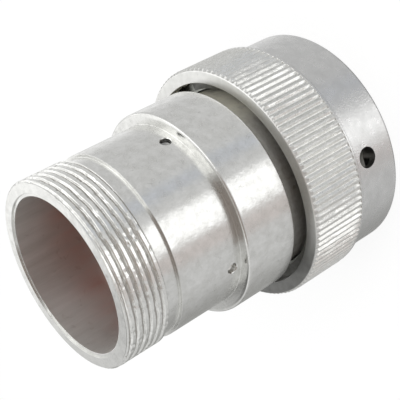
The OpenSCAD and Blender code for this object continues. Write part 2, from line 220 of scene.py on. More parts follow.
# plug barrel: turned and left dull, so its neck shows grey in the gap, with pale dried dirt and painted light on one
# side
dullLook = {
    "name": "dullTurnedAluminium",
    "base": "#DAD8D3",
    "dull": "#C6C3BC",
    "smudge": "#A9A396",
    "roughness": 0.5,
    "anisotropy": 0.5,
    "mottle": 1.6,
    "smudgeSize": 0.8,
    "ring": 0.3,
    "ringDepth": 0.02,
    "grain": 0.5,
    "grainDepth": 0.01,
    # pale dried dirt and painted light towards +y
    "stainAndPaintedLight": {"towards": (0, 1, 0), "from": 10.5, "to": 15.5,
              "colour": "#E2DECB", "cover": 0.95, "least": 0.4, "film": 0.95},
}
# blasted band: fine pits scatter the light, so highlights go broad and speckled
blastedLook = {
    "name": "blastedClearAluminium",
    "base": "#D2D2D1",
    "dull": "#C9C9C8",
    "smudge": "#BDBDBC",
    "roughness": 0.29,
    "anisotropy": 0.2,
    "mottle": 2.0,
    "smudgeSize": 0.8,
    "ring": 0.5,
    "ringDepth": 0.0,
    "grain": 0.34,  # mm; pits of about 0.2 mm drawn coarser to show
    "grainDepth": 0.045,
}
# knurl: rolled ridges with burnished crests and small nicks that sparkle
knurledLook = {
    "name": "rolledKnurlAluminium",
    "base": "#E4E4E1",
    "dull": "#D8D8D4",
    "smudge": "#C2C2BE",
    "roughness": 0.28,
    "anisotropy": 0.3,
    "mottle": 1.2,
    "smudgeSize": 0.5,
    "ring": 0.5,
    "ringDepth": 0.0,
    "grain": 0.3,
    "grainDepth": 0.05,
}
# knurl crests: worn flat in use, so they scatter the light and look speckled
wornLook = {
    "name": "wornKnurlCrest",
    "base": "#DCDCDA",
    "dull": "#CDCDCA",
    "smudge": "#B2B2AF",
    "roughness": 0.48,
    "anisotropy": 0.1,
    "mottle": 0.7,
    "smudgeSize": 0.4,
    "ring": 0.5,
    "ringDepth": 0.0,
    "grain": 0.35,
    "grainDepth": 0.08,
}
# painted shade in the thread's grooves and at the front ends of the knurl's grooves: dull and dark
grooveShadeLook = {
    "name": "paintedGrooveShade",
    "base": "#BCBAB6",
    "dull": "#AAA7A1",
    "smudge": "#8A867F",
    "roughness": 0.42,
    "anisotropy": 0.1,
    "mottle": 0.9,
    "smudgeSize": 0.5,
    "ring": 0.3,
    "ringDepth": 0.0,
    "grain": 0.3,
    "grainDepth": 0.03,
}
# spring steel strip: darker than the shells, with a drawn sheen
springLook = {
    "name": "rolledSpringSteel",
    "base": "#CDCFCA",
    "dull": "#BEC0BA",
    "smudge": "#A6A8A2",
    "roughness": 0.34,
    "anisotropy": 0.85,
    "mottle": 2.5,
    "smudgeSize": 1.0,
    "ring": 0.25,
    "ringDepth": 0.03,
    "grain": 0.2,
    "grainDepth": 0.002,
}
# snap ring: spring steel painted dark as painted shade, almost lost in the shade of the gap
shadeSteelLook = {
    "name": "springSteelPaintedShade",
    "base": "#7A7A77",
    "dull": "#6A6A66",
    "smudge": "#8C8776",
    "roughness": 0.42,
    "anisotropy": 0.5,
    "mottle": 1.2,
    "smudgeSize": 0.8,
    "ring": 0.25,
    "ringDepth": 0.01,
    "grain": 0.3,
    "grainDepth": 0.01,
}
# gold over turned copper alloy: warm, smooth and bright inside the dark insert
goldLook = {
    "name": "goldPlatedTurnedContact",
    "base": "#E3C384",
    "dull": "#D3AE6A",
    "smudge": "#B89050",
    "roughness": 0.26,
    "anisotropy": 0.4,
    "mottle": 1.5,
    "smudgeSize": 0.6,
    "ring": 0.15,
    "ringDepth": 0.002,
    "grain": 0.15,
    "grainDepth": 0.001,
}


patterns = {  # shared by the finishes; a span holds a Map Range's inputs, from and to and what they become
    "cloud": {"Detail": 5.0, "Roughness": 0.62},
    "cloudSpan": {1: 0.36, 2: 0.66},
    "mark": {"Detail": 3.0, "Distortion": 0.6},
    "markSpan": {1: 0.64, 2: 0.78, 3: 0.0, 4: 0.7},
    "patchSpan": {1: 0.3, 2: 0.65, 3: 1.0},
    "glossSpan": {1: 0.3, 2: 0.7},
    "metalSwing": 0.05,  # of roughness, up and down
    "mouldSwing": 0.08,
    "fine": {"Detail": 2.0},
    "bloom": {"Detail": 4.0},
    "bloomTimes": 6,  # coarser than the grain
    "sheenTurn": 0.25,  # a quarter turn from the tool's rings, so highlights stretch along the axis
}


def metalFinish(look):
    material, tree = newMaterial(look["name"])
    place = addNode(tree, "ShaderNodeTexCoord").outputs["Object"]
    flat = addNode(tree, "ShaderNodeVectorMath", {"operation": "MULTIPLY"}, {1: (1, 1, 0)}, {0: place})
    radius = addNode(tree, "ShaderNodeVectorMath", {"operation": "LENGTH"}, links={0: flat.outputs[0]})
    height = addNode(tree, "ShaderNodeSeparateXYZ", links={0: place})
    rings = addNode(tree, "ShaderNodeCombineXYZ", links={0: radius.outputs["Value"], 1: height.outputs[2]})
    drawn = addNode(tree, "ShaderNodeVectorMath", {"operation": "MULTIPLY"},
                    {1: (1, 1, look.get("stretch", 1))}, {0: place})
    clouds = addNode(tree, "ShaderNodeTexNoise", values={"Scale": perMm(look["mottle"]), **patterns["cloud"]},
                     links={"Vector": drawn.outputs[0]})
    cloudy = addNode(tree, "ShaderNodeMapRange", values=patterns["cloudSpan"], links={0: clouds.outputs[0]})
    mottled = addNode(tree, "ShaderNodeMix", {"data_type": "RGBA"},
                      {6: srgb(look["base"]), 7: srgb(look["dull"])}, {0: cloudy.outputs[0]})
    marks = addNode(tree, "ShaderNodeTexNoise", values={"Scale": perMm(look["smudgeSize"]), **patterns["mark"]},
                    links={"Vector": place})
    marked = addNode(tree, "ShaderNodeMapRange", values=patterns["markSpan"], links={0: marks.outputs[0]})
    colour = addNode(tree, "ShaderNodeMix", {"data_type": "RGBA"}, {7: srgb(look["smudge"])},
                     {0: marked.outputs[0], 6: mottled.outputs[2]})
    stainAndPaintedLight = look.get("stainAndPaintedLight")
    if stainAndPaintedLight:  # stains and painted light and shade come in along one direction, in patches
        along = addNode(tree, "ShaderNodeVectorMath", {"operation": "DOT_PRODUCT"}, {1: stainAndPaintedLight["towards"]}, {0: place})
        reached = addNode(tree, "ShaderNodeMapRange", {"interpolation_type": "SMOOTHSTEP"},
                          {1: stainAndPaintedLight["from"] * mm, 2: stainAndPaintedLight["to"] * mm, 4: stainAndPaintedLight["cover"]}, {0: along.outputs["Value"]})
        patches = addNode(tree, "ShaderNodeMapRange", values={**patterns["patchSpan"], 4: stainAndPaintedLight["least"]},
                          links={0: clouds.outputs[0]})
        share = addNode(tree, "ShaderNodeMath", {"operation": "MULTIPLY"},
                        links={0: reached.outputs[0], 1: patches.outputs[0]})
        colour = addNode(tree, "ShaderNodeMix", {"data_type": "RGBA"}, {7: srgb(stainAndPaintedLight["colour"])},
                         {0: share.outputs[0], 6: colour.outputs[2]})
    swing = patterns["metalSwing"]
    rough = addNode(tree, "ShaderNodeMapRange",
                    values={**patterns["glossSpan"], 3: look["roughness"] - swing, 4: look["roughness"] + swing},
                    links={0: clouds.outputs[0]})
    toolMarks = addNode(tree, "ShaderNodeTexNoise", {"noise_dimensions": "2D"},
                        {"Scale": perMm(look["ring"]), **patterns["fine"]}, {"Vector": rings.outputs[0]})
    ringBump = addNode(tree, "ShaderNodeBump", values={"Strength": 1.0, "Distance": look["ringDepth"] * mm},
                       links={"Height": toolMarks.outputs[0]})
    grain = addNode(tree, "ShaderNodeTexNoise", values={"Scale": perMm(look["grain"]), **patterns["fine"]},
                    links={"Vector": place})
    grainBump = addNode(tree, "ShaderNodeBump", values={"Strength": 1.0, "Distance": look["grainDepth"] * mm},
                        links={"Height": grain.outputs[0], "Normal": ringBump.outputs[0]})
    around = addNode(tree, "ShaderNodeTangent", {"direction_type": "RADIAL", "axis": "Z"})
    shader = addNode(tree, "ShaderNodeBsdfPrincipled",
                     values={"Metallic": 1.0, "Anisotropic": look["anisotropy"],
                             "Anisotropic Rotation": patterns["sheenTurn"]},
                     links={"Base Color": colour.outputs[2], "Roughness": rough.outputs[0],
                            "Normal": grainBump.outputs[0], "Tangent": around.outputs[0]})
    if stainAndPaintedLight and stainAndPaintedLight["film"]:  # the pale patches of dried dirt and painted light aren't metal
        bare = addNode(tree, "ShaderNodeMapRange", values={3: 1.0, 4: 1.0 - stainAndPaintedLight["film"]},
                       links={0: share.outputs[0]})
        tree.links.new(bare.outputs[0], shader.inputs["Metallic"])
    addNode(tree, "ShaderNodeOutputMaterial", links={"Surface": shader.outputs[0]})
    return material


# moulded silicone: soft and matt, with a brick tint
siliconeLook = {
    "name": "mouldedRedSilicone", "base": "#8E4A3C", "second": "#7C3F34",
    "roughness": 0.62, "grain": 0.5, "depth": 0.02,
}
# black nitrile seals: matt with a faint moulding bloom
nitrileLook = {
    "name": "mouldedBlackNitrile", "base": "#242426", "second": "#303133",
    "roughness": 0.55, "grain": 0.4, "depth": 0.015,
}
# hard dielectric insert: moulded, dark olive and slightly glossy
dielectricLook = {
    "name": "mouldedDielectric", "base": "#353A34", "second": "#2C302C",
    "roughness": 0.4, "grain": 0.8, "depth": 0.01,
}
# retention disc: natural moulded plastic, waxy and pale
discLook = {
    "name": "mouldedNaturalNylon", "base": "#C2B79A", "second": "#B5A988",
    "roughness": 0.5, "grain": 0.8, "depth": 0.01,
}


def mouldedFinish(look):
    material, tree = newMaterial(look["name"])
    place = addNode(tree, "ShaderNodeTexCoord").outputs["Object"]
    bloomSize = look["grain"] * patterns["bloomTimes"]
    bloom = addNode(tree, "ShaderNodeTexNoise", values={"Scale": perMm(bloomSize), **patterns["bloom"]},
                    links={"Vector": place})
    colour = addNode(tree, "ShaderNodeMix", {"data_type": "RGBA"},
                     {6: srgb(look["base"]), 7: srgb(look["second"])}, {0: bloom.outputs[0]})
    swing = patterns["mouldSwing"]
    rough = addNode(tree, "ShaderNodeMapRange",
                    values={**patterns["glossSpan"], 3: look["roughness"] - swing, 4: look["roughness"] + swing},
                    links={0: bloom.outputs[0]})
    grain = addNode(tree, "ShaderNodeTexNoise", values={"Scale": perMm(look["grain"]), **patterns["fine"]},
                    links={"Vector": place})
    bump = addNode(tree, "ShaderNodeBump", values={"Strength": 1.0, "Distance": look["depth"] * mm},
                   links={"Height": grain.outputs[0]})
    shader = addNode(tree, "ShaderNodeBsdfPrincipled",
                     links={"Base Color": colour.outputs[2], "Roughness": rough.outputs[0], "Normal": bump.outputs[0]})
    addNode(tree, "ShaderNodeOutputMaterial", links={"Surface": shader.outputs[0]})
    return material


turnedMetal, facedMetal, threadMetal = (metalFinish(look) for look in (turnedLook, facedLook, threadLook))
satinMetal, boredMetal, drilledShadeMetal = (metalFinish(look) for look in (satinLook, boredLook, drilledShadeLook))
blastedMetal, knurledMetal, wornMetal = (metalFinish(look) for look in (blastedLook, knurledLook, wornLook))
dullMetal, grooveShadeMetal, shadeSteel = (metalFinish(look) for look in (dullLook, grooveShadeLook, shadeSteelLook))
dustAndLightMetal = metalFinish(dustAndLightLook)
slotFinishes = {
    "shell_aluminium": turnedMetal,
    "spring_steel": metalFinish(springLook),
    "black_seal": mouldedFinish(nitrileLook),
    "red_silicone": mouldedFinish(siliconeLook),
    "dielectric": mouldedFinish(dielectricLook),
    "disc_plastic": mouldedFinish(discLook),
    "gold_plate": metalFinish(goldLook),
}
print("finishes made:", len(bpy.data.materials))


# turned meshes: corners of (radius, height, cut, zone) become rows of (radius, height, zone), swept round the axis
def roundedOutline(corners, arcSteps=4, tinyCut=0.06, hold=1.5):  # a tiny cut takes one facet, a larger one an arc
    rows = []
    for i, (r, z, cut, zone) in enumerate(corners):
        steps = arcSteps if cut > tinyCut else 1
        here, before = Vector((r, z)), corners[i - 1][3]
        back = (Vector(corners[i - 1][:2]) - here).normalized()
        ahead = (Vector(corners[(i + 1) % len(corners)][:2]) - here).normalized()
        rows.append((*(here + back * cut * hold), before))  # holds the flat beside the rounded edge flat
        for step in range(steps + 1):
            t = step / steps
            point = here + back * cut * (1 - t) ** 2 + ahead * cut * t ** 2
            rows.append((*point, zone if t >= 0.5 else before))
        rows.append((*(here + ahead * cut * hold), zone))
    return rows


def fineRows(rows, zone, step):
    finer = []
    for i, (r, z, name) in enumerate(rows):
        finer.append((r, z, name))
        nextR, nextZ, _ = rows[(i + 1) % len(rows)]
        if name == zone and abs(nextZ - z) > step:
            parts = math.ceil(abs(nextZ - z) / step)
            finer += [(r + (nextR - r) * k / parts, z + (nextZ - z) * k / parts, name) for k in range(1, parts)]
    return finer


def sweptPiece(name, rows, angles, finishes, shape=None, helix=None, weld=0.0002):
    points, faces, slots = [], [], []
    zoneNames, columns = list(finishes), len(angles)
    for i, (r, z, _) in enumerate(rows):
        for angle in angles:
            reach, height = shape(i, r, z, angle) if shape else (r, z)
            points.append((reach * math.cos(angle) * mm, reach * math.sin(angle) * mm, height * mm))

    def around(row, wraps):  # a helical row runs on into the row one turn further
        if wraps and helix and helix["first"] <= row <= helix["last"]:
            return min(row + helix["perTurn"], helix["last"])
        return row

    for i, row in enumerate(rows):
        after, zoneSlot = (i + 1) % len(rows), zoneNames.index(row[2])
        for column in range(columns):
            nextColumn = (column + 1) % columns
            wraps = nextColumn == 0
            faces.append((i * columns + column, around(i, wraps) * columns + nextColumn,
                          around(after, wraps) * columns + nextColumn, after * columns + column))
            slots.append(zoneSlot)
    mesh = bpy.data.meshes.new(name)
    mesh.from_pydata(points, [], faces)
    for finish in finishes.values():
        mesh.materials.append(finish)
    mesh.polygons.foreach_set("material_index", slots)
    if helix:
        shell = bmesh.new()
        shell.from_mesh(mesh)
        bmesh.ops.remove_doubles(shell, verts=shell.verts, dist=weld * mm)  # the helix ends close up
        shell.to_mesh(mesh)
        shell.free()
    piece = bpy.data.objects.new(name, mesh)
    bpy.context.scene.collection.objects.link(piece)
    return piece


def closedMesh(name, points, faces, slotIndex=0):
    mesh = bpy.data.meshes.new(name)
    mesh.from_pydata([Vector(p) * mm for p in points], [], faces)
    mesh.polygons.foreach_set("material_index", [slotIndex] * len(faces))
    shell = bmesh.new()
    shell.from_mesh(mesh)
    bmesh.ops.recalc_face_normals(shell, faces=shell.faces)
    shell.to_mesh(mesh)
    shell.free()
    piece = bpy.data.objects.new(name, mesh)
    bpy.context.scene.collection.objects.link(piece)
    return piece


def outAndAcross(angle):
    return Vector((math.cos(angle), math.sin(angle), 0)), Vector((-math.sin(angle), math.cos(angle), 0))


def radialRod(angle, z, profile, slotIndex, sides=48):  # points out from the axis, through stops of (reach, radius)
    out, across = outAndAcross(angle)
    circle = [(math.cos(2 * math.pi * k / sides), math.sin(2 * math.pi * k / sides)) for k in range(sides)]
    points = [out * reach + across * radius * c + Vector((0, 0, z + radius * s))
              for reach, radius in profile for c, s in circle]
    faces = [(stop * sides + k, stop * sides + (k + 1) % sides,
              (stop + 1) * sides + (k + 1) % sides, (stop + 1) * sides + k)
             for stop in range(len(profile) - 1) for k in range(sides)]
    last = (len(profile) - 1) * sides
    faces += [tuple(range(sides - 1, -1, -1)), tuple(range(last, last + sides))]
    return closedMesh("cutRod", points, faces, slotIndex)


def cutAway(piece, cutters):
    for cutter in cutters:
        cut = piece.modifiers.new("cut", "BOOLEAN")
        cut.operation, cut.solver, cut.object = "DIFFERENCE", "EXACT", cutter
    bpy.context.view_layer.update()
    whole = piece.evaluated_get(bpy.context.evaluated_depsgraph_get())
    mesh = bpy.data.meshes.new_from_object(whole)
    piece.modifiers.clear()
    piece.data = mesh
    for cutter in cutters:
        bpy.data.objects.remove(cutter)


def settle(piece, body, node, sharp=40):
    piece.data.polygons.foreach_set("use_smooth", [True] * len(piece.data.polygons))
    piece.data.set_sharp_from_angle(angle=math.radians(sharp))
    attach(piece, body)
    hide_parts(node)


# coupling ring: blasted band with sight holes, straight knurl behind a plain lip, turned rear face and bore
ringSizes = {
    "ridges": 118,
    "bandR": 22.5,
    "frontBoreR": 19.35,
    "rearBoreR": 20.95,
    "grooveR": 21.95,
    "knurlR": 23.75,
    "knurlDepth": 0.38,
    "knurlZ": 10.5,
    "turnedStrip": 0.9,  # left smooth in front of the lip
    "lip": 0.5,
    "lipDrop": 0.06,
    "endBevel": 0.5,
    "edgeCut": 0.12,  # plain bevel behind the ridges
    "endSlope": 0.25,  # faces that lean further back than this are the ridges' worn rear ends
    "length": 22.8,
    "stepZ": 12.6,
    "grooveZ": (19.45, 20.75),
    "crestShare": 0.26,
    "rootShare": 0.17,
    "edgeShare": 0.012,  # of a pitch, rounded where a flank meets crest and root
    "edgeRise": 0.03,
    "rowSpare": 0.03,  # the rows lie this far outside the crests and are drawn in to the ridges
    "rowLead": 0.12,  # behind the lip, where the rows get that far out
    "rowStep": 0.9,
    "rowHold": 0.015,  # the lip's own edge stays plain
    "runOut": 0.25,  # length of the slope at the front end of each groove
    "shadeReach": 0.1,  # past that slope
    "crestBand": 0.1,  # below the crests, still worn
    "crestFacing": 0.92,  # cosine to the radius; steeper faces are flanks
    "nickSize": (0.7, 0.9),  # mm round the ring and along it
    "nickFrom": 0.2,
    "nickDepth": 0.18,
    "slotR": 21.15,
    "slotWidth": 3.4,
    "lockZ": 6.8,
    "rampRise": 2.9,
    "rampTurn": 95,
    "sightR": 2.0,
    "sightAngle": -4.7,
    "lugs": 3,
    "cutFrom": 17.5,  # radius where the cutters start, inside the bore
    "cutTo": 24,
    "cutBelow": 1.0,  # how far in front of the ring the slots' entries start
    "rampSteps": 40,
    "archSides": 12,
}


def ridgeStops(sizes):  # phase within a pitch and height, from a root up to a crest and down again
    root, crest = sizes["rootShare"] / 2, 0.5 - sizes["crestShare"] / 2
    edge, rise = sizes["edgeShare"], sizes["edgeRise"]
    climb = [(root, 0), (root + edge, rise), (crest - edge, 1 - rise), (crest, 1)]
    return climb + [(1 - phase, height) for phase, height in reversed(climb)]


def slotCutter(angle, sizes, slotIndex):
    steps, inner, outer = sizes["rampSteps"], sizes["cutFrom"], sizes["slotR"]
    half, turn = sizes["slotWidth"] / 2, math.radians(sizes["rampTurn"])
    points, faces = [], []
    for step in range(steps + 1):
        share = step / steps
        a = angle - turn * (1 - share)
        z = sizes["lockZ"] - sizes["rampRise"] * (1 - share)
        for r, dz in ((inner, -half), (outer, -half), (outer, half), (inner, half)):
            points.append((r * math.cos(a), r * math.sin(a), z + dz))
    for step in range(steps):
        near, far = 4 * step, 4 * step + 4
        faces += [(near + k, near + (k + 1) % 4, far + (k + 1) % 4, far + k) for k in range(4)]
    faces += [(3, 2, 1, 0), tuple(4 * steps + k for k in range(4))]
    return closedMesh("cutRamp", points, faces, slotIndex)


def entryCutter(angle, sizes, slotIndex):
    half, top = sizes["slotWidth"] / 2, sizes["lockZ"] - sizes["rampRise"]
    sides, bottom = sizes["archSides"], -sizes["cutBelow"]
    arch = [(-half, bottom), (half, bottom)]
    arch += [(half * math.cos(math.pi * k / sides), top + half * math.sin(math.pi * k / sides))
             for k in range(sides + 1)]
    out, across = outAndAcross(angle)
    points = [out * r + across * w + Vector((0, 0, z))
              for r in (sizes["cutFrom"], sizes["slotR"]) for w, z in arch]
    count = len(arch)
    faces = [(k, (k + 1) % count, count + (k + 1) % count, count + k) for k in range(count)]
    faces += [tuple(range(count - 1, -1, -1)), tuple(range(count, 2 * count))]
    return closedMesh("cutEntry", points, faces, slotIndex)


def makeCouplingRing(sizes):
    crest, root = sizes["knurlR"], sizes["knurlR"] - sizes["knurlDepth"]
    lip, start, end = crest - sizes["lipDrop"], sizes["knurlZ"] + sizes["lip"], sizes["length"]
    spare, ridgeEnd = crest + sizes["rowSpare"], end - sizes["edgeCut"]
    corners = [
        (sizes["frontBoreR"], 0, 0.35, "band"),
        (sizes["bandR"], 0, 0.4, "band"),
        (sizes["bandR"], sizes["knurlZ"] - sizes["turnedStrip"], 0.1, "turned"),
        (sizes["bandR"], sizes["knurlZ"], 0.12, "turned"),
        (lip, sizes["knurlZ"], 0.16, "band"),
        (lip, start, 0.02, "knurl"),
        (spare, start + sizes["rowLead"], 0.02, "knurl"),
        (spare, ridgeEnd - sizes["endBevel"], 0.05, "knurl"),
        (root, ridgeEnd, 0.04, "rearFace"),
        (root - sizes["edgeCut"], end, 0.05, "rearFace"),
        (sizes["rearBoreR"], end, 0.12, "wall"),
        (sizes["rearBoreR"], sizes["grooveZ"][1], 0.03, "wall"),
        (sizes["grooveR"], sizes["grooveZ"][1], 0.03, "wall"),
        (sizes["grooveR"], sizes["grooveZ"][0], 0.03, "wall"),
        (sizes["rearBoreR"], sizes["grooveZ"][0], 0.03, "wall"),
        (sizes["rearBoreR"], sizes["stepZ"], 0.03, "bored"),
        (sizes["frontBoreR"], sizes["stepZ"], 0.03, "bored"),
    ]
    rows = fineRows(roundedOutline(corners), "knurl", sizes["rowStep"])
    stops, pitch = ridgeStops(sizes), 2 * math.pi / sizes["ridges"]
    angles = [(ridge + phase) * pitch for ridge in range(sizes["ridges"]) for phase, _ in stops]
    heights = {angle: stops[i % len(stops)][1] for i, angle in enumerate(angles)}

    def ridged(row, r, z, angle):
        if r < root or z < start + sizes["rowHold"]:
            return r, z
        wide, long = sizes["nickSize"]
        nick = noise.noise((crest * math.cos(angle) / wide, crest * math.sin(angle) / wide, z / long))
        worn = crest - sizes["nickDepth"] * max(nick - sizes["nickFrom"], 0)
        slope = 1 - min((z - start) / sizes["runOut"], 1)
        return min(r, worn, root + sizes["knurlDepth"] * max(heights[angle], slope)), z

    finishes = {"bored": drilledShadeMetal, "rearFace": satinMetal, "band": blastedMetal, "turned": turnedMetal,
                "knurl": knurledMetal, "crest": wornMetal, "grooveShade": grooveShadeMetal, "wall": dustAndLightMetal}
    piece = sweptPiece("couplingRing", rows, angles, finishes, ridged)
    knurlSlot, crestSlot, shadeSlot = (list(finishes).index(zone) for zone in ("knurl", "crest", "grooveShade"))
    shadeTo = (start + sizes["runOut"] + sizes["shadeReach"]) * mm
    crestFrom = (crest - sizes["crestBand"]) * mm
    for face in piece.data.polygons:
        if face.material_index != knurlSlot:
            continue
        out = Vector((face.center.x, face.center.y, 0))
        facing = face.normal.dot(out.normalized())
        # painted shade at the front ends of the knurl's grooves
        if face.center.z < shadeTo and out.length < crestFrom:
            face.material_index = shadeSlot
        elif face.normal.z > sizes["endSlope"] or (facing > sizes["crestFacing"] and out.length > crestFrom):
            face.material_index = crestSlot
    cutters = []
    for lug in range(sizes["lugs"]):
        angle = math.radians(sizes["sightAngle"] + 360 / sizes["lugs"] * lug)
        cutters.append(slotCutter(angle, sizes, 0))
        cutters.append(entryCutter(angle - math.radians(sizes["rampTurn"]), sizes, 0))
        sight = ((sizes["cutFrom"], sizes["sightR"]), (sizes["cutTo"], sizes["sightR"]))
        cutters.append(radialRod(angle, sizes["lockZ"], sight, 0))
    cutAway(piece, cutters)
    settle(piece, "coupling_ring", "coupling_ring")
    return piece


ring = makeCouplingRing(ringSizes)
print("coupling ring made,", len(ring.data.polygons), "faces")


# rear adapter: collar, drilled body, relief neck and right-hand accessory thread
adapterSizes = {
    "columns": 360,
    "tailBoreR": 17.95,
    "collarR": 20.35,
    "collarRound": 0.3,
    "collarEdge": 0.6,  # beside the shoulder
    "bodyR": 18.18,
    "reliefR": 17.55,
    "threadR": 18.25,
    "entryR": 15.25,
    "chamberR": 16.0,
    "collarZ": 25.2,
    "bodyZ": 36.3,
    "reliefZ": 49.8,
    "threadZ": 52.5,
    "rimZ": 61.5,
    "entryZ": 47.0,
    "chamberZ": 35.2,
    "pitch": 1.411,  # 18 turns an inch
    "threadDepth": 0.36,
    "crestShare": 0.40,
    "rootShare": 0.10,
    "flankStops": (0.2, 0.4, 0.6, 0.8, 1),  # rows down a flank
    "crestStops": (0.36, 0.43),  # shares of a turn
    "grooveZ": 52.61,  # height of the groove's middle on the X axis
    "shadeShare": 0.15,  # of a flank, beside the root
    "shadeSlack": 0.02,  # of a turn, so that the row before a groove takes the painted shade too
    "threadLead": 0.15,  # slope up to the first turn
    "threadBevel": 0.4,
    "threadInner": 16.5,  # rows inside this radius aren't threaded
    "endFade": 0.4,  # mm at both ends, where the thread stops swaying
    "rimLedge": (0.65, 0.3),  # mm across and deep, a shallow step inside the rim
    "sway": 0.13,  # mm, uneven edges of the worn thread
    "swaySize": (2.6, 1.1),  # mm round the thread and along it
    "swayShift": 40,  # into another part of the noise
    "dingSize": (0.6, 0.8),
    "dingFrom": 0.22,
    "dingDepth": 0.4,
    "noiseR": 18,  # radius where the dings and the sway are drawn
    "spannerR": 1.0,
    "spannerDepth": 1.6,
    "spannerTip": 0.03,
    "spannerPoint": 0.6,
    "sink": ((-0.25, -0.12), (0.1, 0.23)),  # countersink's ends, from the body's face and the hole's radius
    "cutTo": 20,  # radius where the cutters end, outside the body
    "spannerZ": 38.3,
    "spannerAngles": {57: "drilled", 237: "drilled", -30: "faced", 150: "faced"},  # the drilled pair is painted darker as shade; the faced pair catches a glint
}


def makeRearAdapter(sizes):
    lip, ledgeZ = sizes["entryR"] + sizes["rimLedge"][0], sizes["rimZ"] - sizes["rimLedge"][1]
    corners = [
        (sizes["tailBoreR"], sizes["collarZ"], 0.15, "faced"),
        (sizes["collarR"], sizes["collarZ"], sizes["collarRound"], "turned"),
        (sizes["collarR"], sizes["bodyZ"], sizes["collarEdge"], "faced"),
        (sizes["bodyR"], sizes["bodyZ"], 0.05, "turned"),
        (sizes["bodyR"], sizes["reliefZ"], 0.1, "faced"),
        (sizes["reliefR"], sizes["reliefZ"], 0.05, "turned"),
        (sizes["reliefR"], sizes["threadZ"], 0.05, "turned"),
        (sizes["threadR"], sizes["threadZ"] + sizes["threadLead"], 0.05, "thread"),
        (sizes["threadR"], sizes["rimZ"] - sizes["threadBevel"], 0.05, "thread"),
        (sizes["threadR"] - sizes["threadBevel"], sizes["rimZ"], 0.08, "faced"),
        (lip, sizes["rimZ"], 0.05, "faced"),
        (lip, ledgeZ, 0.03, "faced"),
        (sizes["entryR"], ledgeZ, 0.08, "bored"),
        (sizes["entryR"], sizes["entryZ"], 0.05, "bored"),
        (sizes["chamberR"], sizes["entryZ"], 0.05, "bored"),
        (sizes["chamberR"], sizes["chamberZ"], 0.05, "bored"),
        (sizes["tailBoreR"], sizes["chamberZ"], 0.05, "bored"),
    ]
    rows = roundedOutline(corners)
    # the thread's rows go in where its wall runs on for more than a millimetre
    first = next(i for i, row in enumerate(rows) if row[2] == "thread" and rows[i + 1][1] - row[1] > 1) + 1
    low, high = rows[first - 1][1], rows[first][1]
    pitch, grooveZ = sizes["pitch"], sizes["grooveZ"]
    root, flank = sizes["rootShare"] / 2, (1 - sizes["crestShare"] - sizes["rootShare"]) / 2
    half = [0, root] + [root + flank * share for share in sizes["flankStops"]] + list(sizes["crestStops"])
    stops = half + [0.5] + [1 - phase for phase in reversed(half[1:])]  # a turn, from one groove to the next
    turns = range(math.floor((low - grooveZ) / pitch) - 2, math.ceil((high - grooveZ) / pitch) + 1)
    # rows of a flank beside the root take the painted shade of the grooves
    shadeStop = root + flank * sizes["shadeShare"]
    spiral = [(sizes["threadR"], grooveZ + (turn + stop) * pitch,
               "groove" if stop < shadeStop or stop > 1 - shadeStop - sizes["shadeSlack"] else "thread")
              for turn in turns for stop in stops]
    rows = rows[:first] + spiral + rows[first:]
    helix = {"first": first, "last": first + len(spiral) - 1, "perTurn": len(stops)}

    def threaded(row, r, z, angle):
        turn, height = angle / (2 * math.pi), z
        if helix["first"] <= row <= helix["last"]:
            height = min(max(z + pitch * turn, low), high)
        elif z < low - sizes["endFade"] or z >= sizes["rimZ"] or r < sizes["threadInner"]:
            return r, z
        phase = ((height - grooveZ) / pitch - turn) % 1
        away = abs(phase - 0.5)  # turns from the middle of a crest
        drop = min(max((away - sizes["crestShare"] / 2) / flank, 0), 1)
        drop = drop * drop * (3 - 2 * drop)  # worn round at crest and root
        x, y = sizes["noiseR"] * math.cos(angle), sizes["noiseR"] * math.sin(angle)
        wide, long = sizes["dingSize"]
        ding = noise.noise((x / wide, y / wide, height / long))
        wide, long = sizes["swaySize"]
        wave = noise.noise((x / wide, y / wide, height / long + sizes["swayShift"]))
        crest = sizes["threadR"] - sizes["dingDepth"] * max(ding - sizes["dingFrom"], 0)
        ends = min((height - low) / sizes["endFade"], (high - height) / sizes["endFade"], 1)
        sway = sizes["sway"] * wave * max(ends, 0)
        return min(r, crest - sizes["threadDepth"] * drop), height + sway

    finishes = {"drilled": drilledShadeMetal, "bored": boredMetal, "turned": turnedMetal, "faced": facedMetal,
                "thread": threadMetal, "groove": grooveShadeMetal}
    angles = [2 * math.pi * column / sizes["columns"] for column in range(sizes["columns"])]
    piece = sweptPiece("rearAdapter", rows, angles, finishes, threaded, helix)
    face, hole, reach = sizes["bodyR"], sizes["spannerR"], sizes["cutTo"]
    bottom = face - sizes["spannerDepth"]
    drill = ((bottom, sizes["spannerTip"]), (bottom + sizes["spannerPoint"], hole), (reach, hole))
    (sinkBottom, sinkNarrow), (sinkTop, sinkWide) = sizes["sink"]
    sink = ((face + sinkBottom, hole + sinkNarrow), (face + sinkTop, hole + sinkWide), (reach, hole + sinkWide))
    cutters = []
    for angle, zone in sizes["spannerAngles"].items():
        for profile, cutZone in ((drill, zone), (sink, "faced")):
            cutSlot = list(finishes).index(cutZone)
            cutters.append(radialRod(math.radians(angle), sizes["spannerZ"], profile, cutSlot))
    cutAway(piece, cutters)
    settle(piece, "shell", "rear_adapter")
    return piece


adapter = makeRearAdapter(adapterSizes)
print("rear adapter made,", len(adapter.data.polygons), "faces")


# wave spring: a strip in three waves, made at rest; the real strip flattens as the ring is pulled forward, this mesh
# doesn't
springSizes = {
    "inner": 18.7,
    "outer": 20.65,
    "seatZ": 15.65,
    "height": 2.75,
    "strip": 0.5,
    "edge": 0.08,
    "waves": 3,
    "steps": 144,
    "sharp": 30,  # degrees; steeper edges stay crisp
    "travel": 0.9,
}


